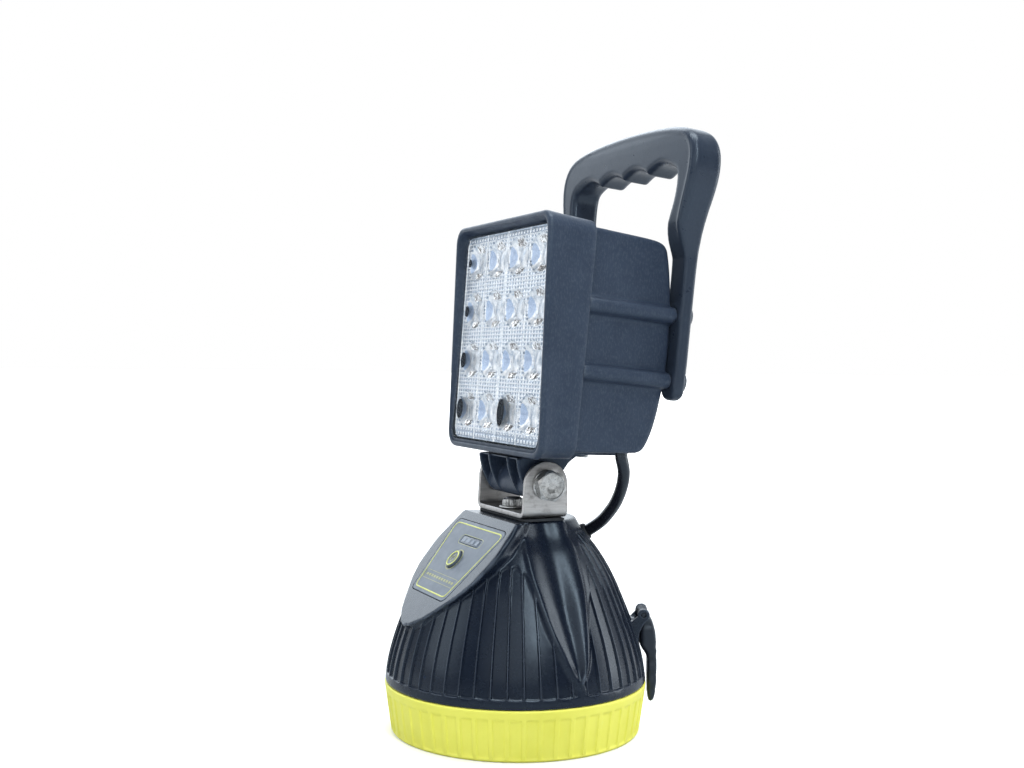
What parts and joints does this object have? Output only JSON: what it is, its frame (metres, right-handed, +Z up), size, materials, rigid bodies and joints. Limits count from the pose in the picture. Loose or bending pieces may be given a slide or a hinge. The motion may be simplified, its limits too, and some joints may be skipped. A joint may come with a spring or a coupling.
{
  "type": "work light",
  "caption": "Cordless square LED flood head with a carrying handle, on a swivel bracket over a ribbed conical battery base with a soft bumper ring.",
  "frame": {"origin": "centre of the round base, on the surface it stands on", "axes": "+Z up; -Y the way the lamp and the control panel face; +X to the lamp's left as seen from behind it"},
  "size_m": [0.132, 0.1342, 0.2866],
  "materials": {
    "base_plastic": "satin moulded blue-black",
    "ring_rubber": "lime yellow soft-touch",
    "black_rubber": "matte black",
    "inner_plastic": "plain moulded",
    "zinc_steel": "zinc plated",
    "cell_wrap": "shrink wrap",
    "circuit_board": "solder mask",
    "panel_film": "satin polyester film",
    "indicator_clear": "frosted light window",
    "cover_rubber": "satin",
    "cable_jacket": "satin PVC jacket",
    "stainless": "brushed stainless",
    "head_paint": "fine-textured powder coat, blue-black",
    "clear_lens": "clear polycarbonate",
    "reflector_chrome": "vacuum metallised",
    "board_aluminium": "white-coated aluminium core board",
    "led_package": "phosphor",
    "handle_plastic": "fine-grained moulded"
  },
  "bodies": {
    "base": {"base_shell": "base_plastic", "base_ring": "ring_rubber", "foot_pad": "black_rubber", "bottom_plate": "inner_plastic", "bottom_screw_1": "zinc_steel", "bottom_screw_2": "zinc_steel", "bottom_screw_3": "zinc_steel", "battery_tray": "inner_plastic", "battery_cell_1": "cell_wrap", "battery_cell_2": "cell_wrap", "battery_cell_3": "cell_wrap", "battery_cell_4": "cell_wrap", "control_board": "circuit_board", "tact_switch": "black_rubber", "panel_label": "panel_film", "indicator_window": "indicator_clear", "charge_socket": "inner_plastic", "bracket_pad": "black_rubber", "pan_bolt": "zinc_steel", "cable_grommet": "black_rubber", "power_cable": "cable_jacket"},
    "button": {"power_button": "base_plastic"},
    "flap": {"port_cover": "cover_rubber"},
    "yoke": {"u_bracket": "stainless", "pan_nut": "zinc_steel", "hinge_bolt": "zinc_steel", "hinge_nut": "zinc_steel", "hinge_washer_left": "black_rubber", "hinge_washer_right": "black_rubber"},
    "head": {"mount_foot": "head_paint", "foot_screw_1": "zinc_steel", "foot_screw_2": "zinc_steel", "head_housing": "head_paint", "head_bezel": "head_paint", "lens_gasket": "black_rubber", "lens_cover": "clear_lens", "reflector": "reflector_chrome", "led_board": "board_aluminium", "led_01": "led_package", "led_02": "led_package", "led_03": "led_package", "led_04": "led_package", "led_05": "led_package", "led_06": "led_package", "led_07": "led_package", "led_08": "led_package", "led_09": "led_package", "led_10": "led_package", "led_11": "led_package", "led_12": "led_package", "led_13": "led_package", "led_14": "led_package", "led_15": "led_package", "led_16": "led_package", "driver_board": "circuit_board", "handle": "handle_plastic", "handle_screw_1": "zinc_steel", "handle_screw_2": "zinc_steel", "handle_screw_3": "zinc_steel", "handle_screw_4": "zinc_steel"}
  },
  "joints": [
    {"name": "pan", "type": "hinge", "parent": "base", "child": "yoke", "pos_m": [0, -0.0015, 0.104], "axis": [0, 0, 1], "range_deg": [-45, 45], "deforming": ["power_cable"]},
    {"name": "tilt", "type": "hinge", "parent": "yoke", "child": "head", "pos_m": [0, 0.0026, 0.118], "axis": [-1, 0, 0], "range_deg": [-20, 40], "deforming": ["power_cable"]},
    {"name": "button_press", "type": "slide", "parent": "base", "child": "button", "axis": [0, 0.7431, -0.6691], "range_m": [0, 0.0007], "stiffness_N_per_m": 600},
    {"name": "port_flap", "type": "hinge", "parent": "base", "child": "flap", "pos_m": [0.02557, 0.05483, 0.0553], "axis": [0.9063, -0.4226, 0], "range_deg": [0, 100]}
  ]
}
